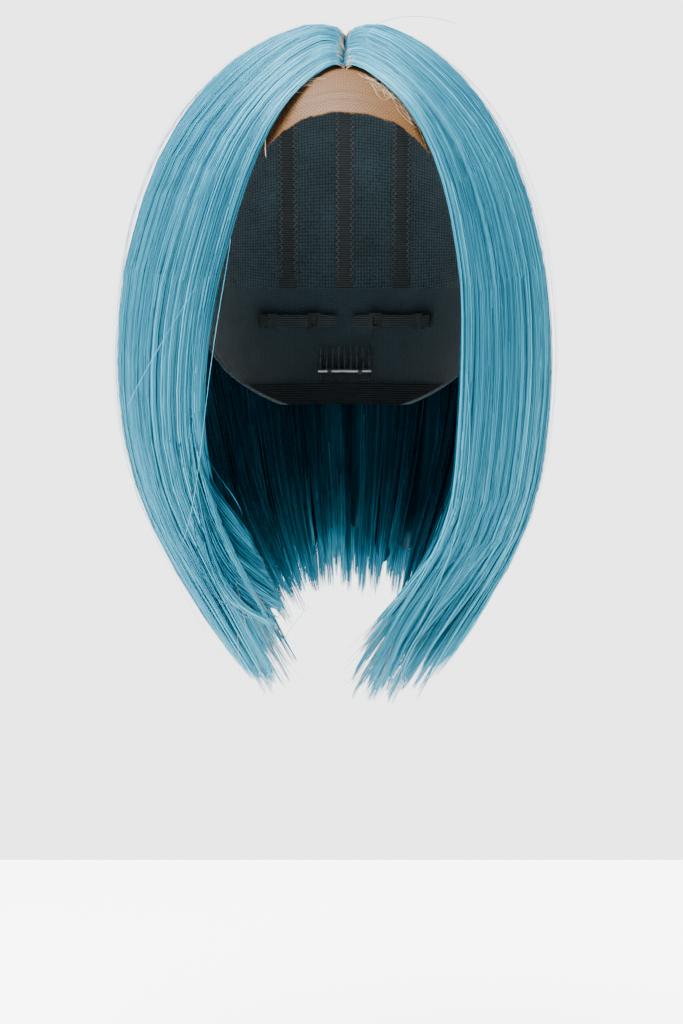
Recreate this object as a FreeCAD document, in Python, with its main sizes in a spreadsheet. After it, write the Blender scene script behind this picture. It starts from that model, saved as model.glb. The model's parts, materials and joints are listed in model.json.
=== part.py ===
import FreeCAD, Part
import math
import os

import Sketcher

# A lace front bob wig on the cap that carries it.  Millimetres, +Z up, the face looks
# along -Y, +X is the wearer's left.  The origin is the crown of the head, on the inside
# of the cap.  Left and right in the names are the wearer's.

Vector = FreeCAD.Vector
doc = FreeCAD.newDocument("CostumeWig")

# --------------------------------------------------------------------------------------
# Driving dimensions
# --------------------------------------------------------------------------------------

SIZES = [
    ("head_half_width", 77, "inside of the cap, half its width"),
    ("head_half_length", 97, "inside of the cap, half its length"),
    ("head_half_height", 95, "inside of the cap, crown to its widest level"),
    ("net_thickness", 0.8, "lace, net and panel cloth"),
    ("track_thickness", 1.4, "a sewn weft track, proud of the net"),
    ("track_height", 4, "a weft track, top to bottom"),
    ("lining_thickness", 1, "bands and tapes inside the cap"),
    ("hair_gap", 3.2, "roots of the hair solids, clear of the cap's inside"),
    ("reach", 140, "half of a cutter that passes through the whole cap"),
    ("crown_half_width", 40, "centre net panel, half its width"),
    ("tape_width", 9, "elastic tapes along the cap"),
    ("tape_offset", 28, "side tapes from the centre"),
    ("comb_depth", 4.2, "middle of a comb's spine below the inside of the cap"),
    ("spine_length", 26, "comb spine"),
    ("spine_width", 1.8, "comb spine, a round rod"),
    ("tooth_length", 15, "comb tooth, from the middle of the spine"),
    ("tooth_width", 0.9, "comb tooth"),
    ("tooth_count", 9, "teeth on a comb"),
    ("tooth_pitch", 3, "from tooth to tooth"),
    ("cloth_bow", 55, "radius that a comb's cloth is bowed to"),
    ("cloth_lift", 2.85, "from a comb's spine to its cloth"),
    ("cloth_thickness", 0.6, "cloth that a comb is sewn to"),
    ("cloth_height", 8, "comb cloth along the teeth"),
    ("cloth_span", 25, "angle that a comb cloth covers about its bow"),
    ("sleeve_clear", 0.1, "room between a comb's spine and its sleeves"),
    ("sleeve_wall", 0.5, "sleeve round a comb's spine"),
    ("sleeve_width", 2, "sleeve along the spine"),
    ("sleeve_place", 7.5, "sleeve, from the middle of the comb"),
    ("sleeve_neck", 1.2, "width of the neck from a sleeve to its cloth"),
    ("stay_thickness", 0.6, "bendable stay in the tab before each ear"),
    ("hem_width", 5, "bound edge over and behind the ear"),
    ("nape_centre", 33.7, "centre of the nape's curve, behind the origin"),
    ("nape_level", -128, "height of the adjusters"),
    ("strap_radius", 54, "middle of an adjuster strap, from the nape's centre"),
    ("strap_thickness", 0.8, "adjuster strap"),
    ("strap_middle", 35, "angle from the middle of the nape to the strap's middle"),
    ("strap_height", 6, "adjuster strap"),
    ("strap_span", 30, "angle that a strap covers about the nape's centre"),
    ("loop_radius", 55.5, "middle of the loop tape"),
    ("loop_thickness", 0.7, "loop tape"),
    ("loop_low", 7, "angle from the middle of the nape to the nearest loop"),
    ("loop_high", 35.5, "angle from the middle of the nape to the furthest loop"),
    ("loop_start", 3, "angle of plain tape before the first loop"),
    ("loop_span", 34.5, "angle that the loop tape covers"),
    ("loop_rise", 0.3, "a loop, proud of its tape"),
    ("loop_width", 2.4, "angle that one loop covers"),
    ("loop_count", 4, "loops on a tape"),
    ("loop_pitch", 9.5, "angle from loop to loop"),
    ("hook_middle", 16.5, "angle from the middle of the nape to the hook's middle"),
    ("hook_span", 7, "angle that the hook covers"),
    ("hook_height", 8, "adjuster hook"),
    ("hook_thickness", 1.1, "adjuster hook"),
    ("slot_height", 5, "slot in the hook that the strap is sewn through"),
    ("slot_span", 3, "angle that the slot covers"),
    ("casing_wall", 0.4, "cloth casing round a strap"),
    ("casing_clear", 0.3, "room between a strap and its casing"),
    ("casing_middle", 42, "angle from the middle of the nape to the casing's middle"),
    ("casing_span", 6, "angle that a casing covers"),
    ("parting_gap", 0.4, "half the gap between the two sides at the parting"),
    ("lock_gap", 0.3, "half the gap between two locks, in degrees"),
    ("left_spread", 0.92, "how far out the left side's hair stands, as a share of the right's"),
]

# Side view of the cap, as places along Y and Z.  The hairline runs from the middle of the
# forehead, by the temple, to the tab before the ear; the hem goes over the ear to the nape.
PLACES = {
    "above_front": (-112, -26),
    "hairline_middle": (-73, -32),
    "hairline_temple": (-71.5, -61),
    "hairline_side": (-59, -86),
    "sideburn": (-53, -98),
    "tab_front": (-42, -124),
    "tab_back": (-24, -126),
    "ear_front": (-19, -104),
    "ear_top": (-6, -97),
    "ear_back": (10, -103),
    "ear_low": (20, -124),
    "nape_side": (34, -152),
    "nape_low": (50, -168),
    "behind_low": (112, -168),
    "seam_top": (-28, 8),
    "seam_low": (-50, -100),
    "stay_top_front": (-35.5, -103),
    "stay_top_back": (-31.5, -103),
    "stay_low_back": (-30.5, -121),
    "stay_low_front": (-34.5, -121),
    "band_front": (40, -158),
    "band_behind": (112, -158),
    "panel_corner": (15, -112),
    "behind_occiput": (112, -112),
    "behind_top": (112, 8),
    "before_top": (-112, 8),
}

# Level by level down the hair: height, half its width, how far it stands before and behind
# the crown, half the opening between the two front edges, and how thick it hangs.
LEVELS = [
    (-14, 54, 58, 68, 10, 12),
    (-34, 74, 81, 90, 29, 14),
    (-60, 88, 95.5, 104, 42, 16),
    (-90, 97.5, 96, 112, 51, 20),
    (-120, 102, 92.6, 114, 55, 25),
    (-150, 103, 88, 114, 59, 20),
    (-180, 99.5, 86, 111, 60.7, 18),
    (-210, 91, 84.6, 106, 57, 17),
    (-235, 78, 81, 98, 48, 15),
    (-257, 66, 76, 88, 39, 13),
    (-276, 54, 72, 80, 30, 11),
    (-291, 40, 74, 74, 25, 8),
]
LEVEL_PARTS = ("height", "half_width", "before", "behind", "opening", "wall")

# The crown of one side rises from the parting and closes over the top of the head:
# height, centre and half width across, centre and half length along.
CROWN_LEVELS = [
    (-13.6, 0, 54, 5, 63),
    (-4, 2, 37, 4, 51),
    (3, 7, 22.5, 3, 36),
    (7.5, 13, 12, 1, 22),
    (10, 16.5, 5, 0, 9),
]
CROWN_PARTS = ("height", "across", "half_width", "along", "half_length")

# Locks from the front edge to the middle of the back, as shares of the way round, and the
# last level that each one reaches.
LOCKS = [
    ("front", 0.0, 0.2, 12),
    ("side", 0.2, 0.47, 11),
    ("back", 0.47, 0.74, 10),
    ("nape", 0.74, 1.0, 10),
]

# Weft tracks, top to bottom: where each one starts behind the lace, and its level behind.
TRACKS = [
    ((-32, -14), -26),
    ((-35.5, -32), -46),
    ((-39, -50), -66),
    ((-43, -68), -86),
    ((-46.5, -86), -106),
    ((14, -101), -124),
    ((20, -117), -140),
    ((28, -134), -154),
]
BEHIND = 112

# Where a comb is sewn in: its place in the side view, and which way its teeth point.
COMBS = {
    "side": ((-49, -79), (0, 1, 0.25)),
    "nape": ((None, -155), (0, 0, 1)),
}


def write_sheet():
    """The sheet that holds every driving dimension under its name."""
    rows = list(SIZES)
    for name, (along, up) in PLACES.items():
        rows.append((name + "_y", along, "side view"))
        rows.append((name + "_z", up, "side view"))
    for title, parts, table in (("hair", LEVEL_PARTS, LEVELS), ("crown", CROWN_PARTS, CROWN_LEVELS)):
        for number, values in enumerate(table, start=1):
            for part, value in zip(parts, values):
                rows.append((f"{title}_{number}_{part}", value, "hair outline"))
    made = doc.addObject("Spreadsheet::Sheet", "Sizes")
    for row, (alias, value, note) in enumerate(rows, start=1):
        made.set(f"A{row}", note)
        made.set(f"B{row}", str(value))
        made.setAlias(f"B{row}", alias)
    doc.recompute()
    return made


sheet = write_sheet()
keepers = []


def size(alias):
    """A driving dimension, as a number."""
    return float(sheet.get(alias))


def keep(piece, label):
    """Marks a finished sub-part; its label names its file."""
    piece.Label = label
    keepers.append(piece)
    return piece


def bind(piece, **formulas):
    for field, formula in formulas.items():
        piece.setExpression(field, formula)


# --------------------------------------------------------------------------------------
# Shells and cutters
# --------------------------------------------------------------------------------------

def head_form(name, offset):
    """The head as the cap meets it, grown by an offset that may use the sheet's names."""
    form = doc.addObject("Part::Ellipsoid", name)
    form.Angle1 = -90
    form.Angle2 = 90
    form.Angle3 = 360
    bind(
        form,
        Radius1=f"Sizes.head_half_height + ({offset})",
        Radius2=f"Sizes.head_half_width + ({offset})",
        Radius3=f"Sizes.head_half_length + ({offset})",
    )
    form.setExpression("Placement.Base.z", "-Sizes.head_half_height")
    return form


def shell(name, outer, inner):
    cut = doc.addObject("Part::Cut", name)
    cut.Base = outer
    cut.Tool = inner
    return cut


def side_outline(name, corners):
    """A closed sketch in the side view through named places or (y, z) pairs."""
    sketch = doc.addObject("Sketcher::SketchObject", name)
    turn = FreeCAD.Rotation(Vector(0, 1, 0), Vector(0, 0, 1), Vector(1, 0, 0), "ZXY")
    sketch.Placement = FreeCAD.Placement(Vector(0, 0, 0), turn)
    points = []
    for corner in corners:
        if isinstance(corner, str):
            points.append(Vector(size(corner + "_y"), size(corner + "_z"), 0))
        else:
            points.append(Vector(corner[0], corner[1], 0))
    count = len(points)
    for index in range(count):
        sketch.addGeometry(Part.LineSegment(points[index], points[(index + 1) % count]), False)
    for index in range(count):
        sketch.addConstraint(Sketcher.Constraint("Coincident", index, 2, (index + 1) % count, 1))
    for index, corner in enumerate(corners):
        across = Sketcher.Constraint("DistanceX", -1, 1, index, 1, points[index].x)
        upright = Sketcher.Constraint("DistanceY", -1, 1, index, 1, points[index].y)
        across_number = sketch.addConstraint(across)
        upright_number = sketch.addConstraint(upright)
        if isinstance(corner, str):
            sketch.setExpression(f"Constraints[{across_number}]", f"Sizes.{corner}_y")
            sketch.setExpression(f"Constraints[{upright_number}]", f"Sizes.{corner}_z")
    return sketch


def cutter(name, corners, right="Sizes.reach", left="Sizes.reach"):
    """A block with a side-view outline, from -left to +right across the head."""
    block = doc.addObject("Part::Extrusion", name)
    block.Base = side_outline(name + "_outline", corners)
    block.DirMode = "Normal"
    block.Solid = True
    bind(block, LengthFwd=right, LengthRev=left)
    return block


def patch(label, layer, corners, right="Sizes.reach", left="Sizes.reach"):
    """A piece of a shell, cut out by a side-view outline."""
    common = doc.addObject("Part::Common", label + "_patch")
    common.Base = layer
    common.Tool = cutter(label + "_cutter", corners, right, left)
    return keep(common, label)


def mirror(piece, label):
    """The same piece on the other side of the head."""
    twin = doc.addObject("Part::Mirroring", label + "_twin")
    twin.Source = piece
    twin.Normal = Vector(1, 0, 0)
    twin.Base = Vector(0, 0, 0)
    return keep(twin, label)


def strip(first, last, height):
    """Corners of a band in the side view, its top edge given by two (y, z) ends."""
    return [first, last, (last[0], last[1] - height), (first[0], first[1] - height)]


inside = head_form("head_inside", "0")
net_outside = head_form("net_outside", "Sizes.net_thickness")
track_outside = head_form("track_outside", "Sizes.net_thickness + Sizes.track_thickness")
lining_inside = head_form("lining_inside", "-Sizes.lining_thickness")
hair_roots = head_form("hair_roots", "Sizes.hair_gap")
net_layer = shell("net_layer", net_outside, inside)
track_layer = shell("track_layer", track_outside, net_outside)
lining_layer = shell("lining_layer", inside, lining_inside)

# --------------------------------------------------------------------------------------
# The cap
# --------------------------------------------------------------------------------------

BACK_OF_SEAM = ["seam_top", "seam_low", "panel_corner", "behind_occiput", "behind_top"]
HEM = ["tab_back", "ear_front", "ear_top", "ear_back", "panel_corner", "ear_low", "nape_side"]


def inset(names, width):
    """Corners of a strip that runs along named places and lies to the right of the run."""
    run = [Vector(size(name + "_y"), size(name + "_z"), 0) for name in names]
    edge = []
    for index, point in enumerate(run):
        before = run[max(index - 1, 0)]
        after = run[min(index + 1, len(run) - 1)]
        along = (after - before).normalize()
        edge.append((point.x - along.y * width, point.y + along.x * width))
    return list(names) + edge[::-1]


patch("lace_front", net_layer, [
    "before_top", "above_front", "hairline_middle", "hairline_temple", "hairline_side",
    "sideburn", "seam_low", "seam_top",
])
patch(
    "crown_net", net_layer, BACK_OF_SEAM,
    right="Sizes.crown_half_width", left="Sizes.crown_half_width",
)
side_net = patch("side_net_left", net_layer, [
    "seam_top", "seam_low", "ear_front", "ear_top", "ear_back", "panel_corner",
    "behind_occiput", "behind_top",
], left="-Sizes.crown_half_width")
mirror(side_net, "side_net_right")
patch("nape_panel", net_layer, [
    "panel_corner", "ear_low", "nape_side", "nape_low", "behind_low", "behind_occiput",
])
ear_tab = patch(
    "ear_tab_left", net_layer, ["seam_low", "tab_front", "tab_back", "ear_front"], left="0",
)
mirror(ear_tab, "ear_tab_right")
hem = patch("ear_binding_left", lining_layer, inset(HEM, size("hem_width")), left="0")
mirror(hem, "ear_binding_right")
patch("nape_band", lining_layer, ["band_front", "band_behind", "behind_low", "nape_low"])
stay_inside = head_form("stay_inside", "-Sizes.stay_thickness")
stay_layer = shell("stay_layer", inside, stay_inside)
stay = patch(
    "ear_stay_left", stay_layer, ["stay_top_front", "stay_top_back", "stay_low_back", "stay_low_front"],
    left="0",
)
mirror(stay, "ear_stay_right")
patch(
    "centre_tape", lining_layer, BACK_OF_SEAM,
    right="Sizes.tape_width / 2", left="Sizes.tape_width / 2",
)
side_tape = patch(
    "side_tape_left", lining_layer, BACK_OF_SEAM,
    right="Sizes.tape_offset + Sizes.tape_width / 2", left="Sizes.tape_width / 2 - Sizes.tape_offset",
)
mirror(side_tape, "side_tape_right")
for number, (start, level) in enumerate(TRACKS, start=1):
    patch(f"weft_track_{number}", track_layer, strip(start, (BEHIND, level), size("track_height")))

# --------------------------------------------------------------------------------------
# Combs and adjusters, turned about an axis of their own
# --------------------------------------------------------------------------------------


def origin_of(body, role):
    """One of a body's own planes or axes."""
    return next(feature for feature in body.Origin.OriginFeatures if feature.Role == role)


def section(body, name, plane, middle, across, upright):
    """A rectangle in a body's plane, its middle at a distance from the turning axis.
    The sketch's x is the distance when the plane is XZ, and its y when it is YZ."""
    sketch = body.newObject("Sketcher::SketchObject", name)
    sketch.AttachmentSupport = [(origin_of(body, plane), "")]
    sketch.MapMode = "FlatFace"
    corners = [Vector(-1, -1, 0), Vector(1, -1, 0), Vector(1, 1, 0), Vector(-1, 1, 0)]
    for index in range(4):
        sketch.addGeometry(Part.LineSegment(corners[index], corners[(index + 1) % 4]), False)
    for index in range(4):
        sketch.addConstraint(Sketcher.Constraint("Coincident", index, 2, (index + 1) % 4, 1))
    for index, kind in enumerate(("Horizontal", "Vertical", "Horizontal", "Vertical")):
        sketch.addConstraint(Sketcher.Constraint(kind, index))
    low = ("0", middle) if plane == "YZ_Plane" else (middle, "0")
    for kind, point, formula in (
        ("DistanceX", 0, f"{low[0]} - ({across}) / 2"),
        ("DistanceY", 0, f"{low[1]} - ({upright}) / 2"),
        ("DistanceX", 2, f"{low[0]} + ({across}) / 2"),
        ("DistanceY", 2, f"{low[1]} + ({upright}) / 2"),
    ):
        start = corners[point].x if kind == "DistanceX" else corners[point].y
        number = sketch.addConstraint(Sketcher.Constraint(kind, -1, 1, point, 1, start))
        sketch.setExpression(f"Constraints[{number}]", formula)
    return sketch


def turned(body, name, profile, axis, span, kind="Revolution"):
    """A section turned about one of the body's axes, half its span to each side."""
    feature = body.newObject("PartDesign::" + kind, name)
    feature.Profile = profile
    feature.ReferenceAxis = (origin_of(body, axis), [""])
    feature.Midplane = True
    bind(feature, Angle=span)
    return feature


def circle(body, name, plane, middle, diameter):
    """A circle in a body's plane, its centre at a distance along the sketch's x."""
    sketch = body.newObject("Sketcher::SketchObject", name)
    sketch.AttachmentSupport = [(origin_of(body, plane), "")]
    sketch.MapMode = "FlatFace"
    sketch.addGeometry(Part.Circle(Vector(0, 0, 0), Vector(0, 0, 1), 1), False)
    for constraint, formula in (
        (Sketcher.Constraint("Diameter", 0, 2), diameter),
        (Sketcher.Constraint("DistanceX", -1, 1, 0, 3, 0), middle),
        (Sketcher.Constraint("DistanceY", -1, 1, 0, 3, 0), "0"),
    ):
        number = sketch.addConstraint(constraint)
        sketch.setExpression(f"Constraints[{number}]", formula)
    return sketch


def comb_frame(place, points, side):
    """Where the middle of a comb's spine lies, with Z out of the head and Y along the teeth."""
    along, up = place
    half = Vector(size("head_half_width"), size("head_half_length"), size("head_half_height"))
    rise = (up + half.z) / half.z
    if along is None:
        spot = Vector(0, half.y * math.sqrt(1 - rise ** 2), up)
    else:
        spot = Vector(side * half.x * math.sqrt(1 - rise ** 2 - (along / half.y) ** 2), along, up)
    out = Vector(spot.x / half.x ** 2, spot.y / half.y ** 2, (spot.z + half.z) / half.z ** 2)
    out.normalize()
    teeth = Vector(*points)
    teeth = teeth - out * teeth.dot(out)
    teeth.normalize()
    turn = FreeCAD.Rotation(teeth.cross(out), teeth, out, "ZXY")
    return FreeCAD.Placement(spot - out * size("comb_depth"), turn)


def make_comb(label, frame):
    """A round spine with a row of teeth."""
    body = doc.addObject("PartDesign::Body", label + "_body")
    spine = body.newObject("PartDesign::Pad", label + "_spine")
    spine.Profile = circle(body, label + "_rod", "YZ_Plane", "0", "Sizes.spine_width")
    spine.Midplane = True
    bind(spine, Length="Sizes.spine_length")
    tooth = body.newObject("PartDesign::Pad", label + "_tooth")
    first = "-Sizes.tooth_pitch * (Sizes.tooth_count - 1) / 2"
    tooth.Profile = circle(body, label + "_wire", "XZ_Plane", first, "Sizes.tooth_width")
    tooth.Reversed = True
    bind(tooth, Length="Sizes.tooth_length")
    doc.recompute()
    row = body.newObject("PartDesign::LinearPattern", label + "_teeth")
    row.Originals = [tooth]
    row.Direction = (origin_of(body, "X_Axis"), [""])
    bind(row, Length="Sizes.tooth_pitch * (Sizes.tooth_count - 1)", Occurrences="Sizes.tooth_count")
    body.Tip = row
    body.Placement = frame
    keep(body, label)


def make_comb_cloth(label, frame):
    """The cloth that is sewn to the cap, with the sleeves that the comb's spine turns in."""
    cloth = doc.addObject("PartDesign::Body", label + "_body")
    cloth_section = section(
        cloth, label + "_section", "YZ_Plane", "Sizes.cloth_bow", "Sizes.cloth_height",
        "Sizes.cloth_thickness",
    )
    turned(cloth, label + "_turn", cloth_section, "Y_Axis", "Sizes.cloth_span")
    bind(cloth, **{"Placement.Base.z": "Sizes.cloth_lift - Sizes.cloth_bow"})
    along = FreeCAD.Rotation(Vector(0, 1, 0), 90)
    pieces = [cloth]
    for side in (-1, 1):
        start = f"{side} * Sizes.sleeve_place - Sizes.sleeve_width / 2"
        sleeve = doc.addObject("Part::Cylinder", f"{label}_sleeve")
        sleeve.Placement.Rotation = along
        bind(
            sleeve,
            Radius="Sizes.spine_width / 2 + Sizes.sleeve_clear + Sizes.sleeve_wall",
            Height="Sizes.sleeve_width",
            **{"Placement.Base.x": start},
        )
        neck = doc.addObject("Part::Box", f"{label}_neck")
        bind(
            neck,
            Length="Sizes.sleeve_width",
            Width="Sizes.sleeve_neck",
            Height="Sizes.cloth_lift - Sizes.sleeve_place ^ 2 / 2 / Sizes.cloth_bow",
            **{"Placement.Base.x": start, "Placement.Base.y": "-Sizes.sleeve_neck / 2"},
        )
        pieces += [sleeve, neck]
    joined = doc.addObject("Part::MultiFuse", label + "_joined")
    joined.Shapes = pieces
    bore = doc.addObject("Part::Cylinder", label + "_bore")
    bore.Placement.Rotation = along
    bind(
        bore,
        Radius="Sizes.spine_width / 2 + Sizes.sleeve_clear",
        Height="Sizes.spine_length",
        **{"Placement.Base.x": "-Sizes.spine_length / 2"},
    )
    bored = shell(label + "_bored", joined, bore)
    bored.Placement = frame
    keep(bored, label)


for name, (place, points) in COMBS.items():
    hands = ("left", "right") if name == "side" else (name,)
    for hand in hands:
        frame = comb_frame(place, points, -1 if hand == "right" else 1)
        make_comb("comb_" + hand, frame)
        make_comb_cloth("comb_cloth_" + hand, frame)


def on_nape(body, middle, side):
    """Stands a turned piece about the nape's centre, at an angle from its middle."""
    turn = FreeCAD.Rotation(Vector(0, 0, 1), 90 - side * size(middle))
    body.Placement = FreeCAD.Placement(Vector(0, size("nape_centre"), size("nape_level")), turn)


def nape_piece(label, radius, thickness, height, span, middle, side):
    """A band that follows the nape."""
    body = doc.addObject("PartDesign::Body", label + "_body")
    profile = section(body, label + "_section", "XZ_Plane", radius, thickness, height)
    turned(body, label + "_turn", profile, "Z_Axis", span)
    on_nape(body, middle, side)
    return keep(body, label)


for side, hand in ((1, "left"), (-1, "right")):
    nape_piece(f"adjuster_strap_{hand}", "Sizes.strap_radius", "Sizes.strap_thickness",
               "Sizes.strap_height", "Sizes.strap_span", "strap_middle", side)

    hook = nape_piece(f"adjuster_hook_{hand}", "Sizes.strap_radius", "Sizes.hook_thickness",
                      "Sizes.hook_height", "Sizes.hook_span", "hook_middle", side)
    slot = section(hook, f"hook_slot_{hand}", "XZ_Plane", "Sizes.strap_radius",
                   "Sizes.hook_thickness * 3", "Sizes.slot_height")
    turned(hook, f"hook_slot_cut_{hand}", slot, "Z_Axis", "Sizes.slot_span", kind="Groove")

    casing = nape_piece(f"strap_casing_{hand}", "Sizes.strap_radius",
                        "Sizes.strap_thickness + 2 * Sizes.casing_clear + 2 * Sizes.casing_wall",
                        "Sizes.strap_height + 2 * Sizes.casing_clear + 2 * Sizes.casing_wall",
                        "Sizes.casing_span", "casing_middle", side)
    room = section(casing, f"casing_room_{hand}", "XZ_Plane", "Sizes.strap_radius",
                   "Sizes.strap_thickness + 2 * Sizes.casing_clear",
                   "Sizes.strap_height + 2 * Sizes.casing_clear")
    turned(casing, f"casing_room_cut_{hand}", room, "Z_Axis", "Sizes.casing_span + 4", kind="Groove")

    tape = doc.addObject("PartDesign::Body", f"loop_tape_{hand}_body")
    band = section(tape, f"tape_section_{hand}", "XZ_Plane", "Sizes.loop_radius",
                   "Sizes.loop_thickness", "Sizes.strap_height")
    both_ways = turned(tape, f"tape_turn_{hand}", band, "Z_Axis", "Sizes.loop_start")
    both_ways.Midplane = False
    both_ways.Type = "TwoAngles"
    bind(both_ways, Angle="Sizes.loop_span - Sizes.loop_start", Angle2="Sizes.loop_start")
    loop = section(tape, f"loop_section_{hand}", "XZ_Plane",
                   "Sizes.loop_radius - Sizes.loop_thickness / 2 - Sizes.loop_rise / 2",
                   "Sizes.loop_rise", "Sizes.strap_height - 1")
    first = turned(tape, f"first_loop_{hand}", loop, "Z_Axis", "Sizes.loop_width")
    doc.recompute()
    row = tape.newObject("PartDesign::PolarPattern", f"loops_{hand}")
    row.Originals = [first]
    row.Axis = (origin_of(tape, "Z_Axis"), [""])
    bind(row, Angle="Sizes.loop_pitch * (Sizes.loop_count - 1)", Occurrences="Sizes.loop_count")
    tape.Tip = row
    on_nape(tape, "loop_low" if side < 0 else "loop_high", side)
    keep(tape, f"loop_tape_{hand}")

# --------------------------------------------------------------------------------------
# The hair, as the room that it fills
# --------------------------------------------------------------------------------------

def level_at(number):
    """One level of the hair, read from the sheet."""
    return {part: size(f"hair_{number}_{part}") for part in LEVEL_PARTS}


def round_the_head(level, share, depth, spread):
    """A point on a level's outline, or a depth inside it, a share of the way from the
    front edge to the middle of the back. The outline is narrowed to a spread."""
    start = math.asin(level["opening"] / level["half_width"])
    angle = start + share * (math.pi - start)
    reach = level["before"] if angle < math.pi / 2 else level["behind"]
    return Vector(
        (level["half_width"] - depth) * math.sin(angle) * spread,
        -(reach - depth) * math.cos(angle),
        level["height"],
    )


def lock_section(number, first, last, spread):
    """One lock's outline at one level."""
    level = level_at(number)
    shares = [first + (last - first) * step / 4 for step in range(5)]
    outer = Part.BSplineCurve()
    outer.interpolate([round_the_head(level, share, 0, spread) for share in shares])
    inner = Part.BSplineCurve()
    inner.interpolate([round_the_head(level, share, level["wall"], spread) for share in shares])
    outer_edge = outer.toShape()
    inner_edge = inner.toShape()
    ends = [
        Part.makeLine(outer_edge.lastVertex().Point, inner_edge.lastVertex().Point),
        Part.makeLine(inner_edge.firstVertex().Point, outer_edge.firstVertex().Point),
    ]
    return Part.Wire([outer_edge, ends[0], inner_edge, ends[1]])


def outline_object(name, wire):
    piece = doc.addObject("Part::Feature", name)
    piece.Shape = wire
    return piece


def loft_through(name, wires):
    """A closed solid through outlines that lie one above the other."""
    loft = doc.addObject("Part::Loft", name)
    loft.Sections = [outline_object(f"{name}_{index}", wire) for index, wire in enumerate(wires)]
    loft.Solid = True
    loft.Ruled = False
    return loft


def make_crown(name, spread):
    """The hair over the top of the head, on one side of the parting."""
    wires = []
    for number in range(1, len(CROWN_LEVELS) + 1):
        level = {part: size(f"crown_{number}_{part}") for part in CROWN_PARTS}
        centre = Vector(level["across"] * spread, level["along"], level["height"])
        before = centre + Vector(0, level["half_length"], 0)
        beside = centre + Vector(level["half_width"] * spread, 0, 0)
        wires.append(Part.Wire([Part.Ellipse(before, beside, centre).toShape()]))
    half = doc.addObject("Part::Box", name + "_half")
    bind(half, Length="Sizes.reach", Width="2 * Sizes.reach", Height="Sizes.reach")
    half.setExpression("Placement.Base.x", "Sizes.parting_gap")
    half.setExpression("Placement.Base.y", "-Sizes.reach")
    half.setExpression("Placement.Base.z", "-Sizes.reach / 2")
    crown = doc.addObject("Part::Common", name)
    crown.Base = loft_through(name + "_dome", wires)
    crown.Tool = half
    return crown


gap = size("lock_gap") / 180
for hand in ("left", "right"):
    spread = size("left_spread") if hand == "left" else 1
    solids = {"crown": make_crown("crown_" + hand, spread)}
    for name, first, last, lowest in LOCKS:
        wires = [
            lock_section(number, first + gap, last - gap, spread)
            for number in range(1, lowest + 1)
        ]
        solids[name] = loft_through(f"{name}_lock_{hand}", wires)
    for name, solid in solids.items():
        label = f"hair_{name}_{hand}"
        trimmed = shell(label + "_trim", solid, hair_roots)
        if hand == "left":
            keep(trimmed, label)
        else:
            mirror(trimmed, label)

# --------------------------------------------------------------------------------------
# Checks and files
# --------------------------------------------------------------------------------------

doc.recompute()
faults = [item.Label for item in doc.Objects if {"Invalid", "Error"} & set(item.State)]
if faults:
    raise RuntimeError("these objects failed: " + ", ".join(faults))
os.makedirs("parts", exist_ok=True)
for piece in keepers:
    if piece.Shape.isNull() or not piece.Shape.isValid() or piece.Shape.Volume <= 0:
        raise RuntimeError(piece.Label + " has no valid solid")
for piece in keepers:
    piece.Shape.exportStep(f"parts/{piece.Label}.step")
    print(piece.Label, len(piece.Shape.Solids), round(piece.Shape.Volume, 1))
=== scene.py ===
import json
import math

import bpy
import numpy as np
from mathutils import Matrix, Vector

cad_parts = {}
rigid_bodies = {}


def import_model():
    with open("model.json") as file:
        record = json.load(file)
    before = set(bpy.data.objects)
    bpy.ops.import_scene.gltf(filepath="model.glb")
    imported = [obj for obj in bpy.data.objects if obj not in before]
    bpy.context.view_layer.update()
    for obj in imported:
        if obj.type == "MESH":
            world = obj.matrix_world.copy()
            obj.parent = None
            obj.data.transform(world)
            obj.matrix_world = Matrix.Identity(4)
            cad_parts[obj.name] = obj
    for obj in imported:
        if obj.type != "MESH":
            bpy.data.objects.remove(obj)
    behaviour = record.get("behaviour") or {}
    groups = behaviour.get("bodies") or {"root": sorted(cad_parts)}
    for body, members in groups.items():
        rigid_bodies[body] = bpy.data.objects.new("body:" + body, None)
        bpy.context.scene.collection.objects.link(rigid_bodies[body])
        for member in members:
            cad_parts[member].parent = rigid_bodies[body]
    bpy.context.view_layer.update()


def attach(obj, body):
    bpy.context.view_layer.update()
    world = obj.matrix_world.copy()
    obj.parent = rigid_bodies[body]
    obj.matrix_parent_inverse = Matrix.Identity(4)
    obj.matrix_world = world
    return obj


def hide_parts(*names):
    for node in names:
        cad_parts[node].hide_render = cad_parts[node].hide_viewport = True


# A lace front bob wig on its cap. Metres, +Z up, the face looks along -Y and +X is the
# wearer's left. Lengths below are written in millimetres and turned by MM.

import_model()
MM = 0.001
SIDES = {"left": 1, "right": -1}

# --------------------------------------------------------------------------------------
# Helpers
# --------------------------------------------------------------------------------------


def linear(hex_colour):
    """An sRGB hex colour as the linear numbers that a shader takes."""
    parts = [int(hex_colour[i:i + 2], 16) / 255 for i in (1, 3, 5)]
    return [c / 12.92 if c <= 0.04045 else ((c + 0.055) / 1.055) ** 2.4 for c in parts] + [1.0]


def add(tree, kind, links=(), stops=(), **settings):
    """Adds a shader node. A setting that names an input fills it, i1 fills input 1, and any
    other is the node's own. Links are (input, output socket) pairs, and stops are a colour
    ramp's (place, hex colour) pairs."""
    node = tree.nodes.new(kind)
    for key, value in settings.items():
        name = key.replace("_", " ")
        if hasattr(node, key):
            setattr(node, key, value)
        elif name in node.inputs:
            node.inputs[name].default_value = value
        else:
            node.inputs[int(key.strip("i"))].default_value = value
    for target, source in links:
        tree.links.new(source, node.inputs[target])
    for place, (position, colour) in enumerate(stops):
        elements = node.color_ramp.elements
        if place >= len(elements):
            elements.new(position)
        elements[place].position = position
        elements[place].color = linear(colour)
    return node


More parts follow.
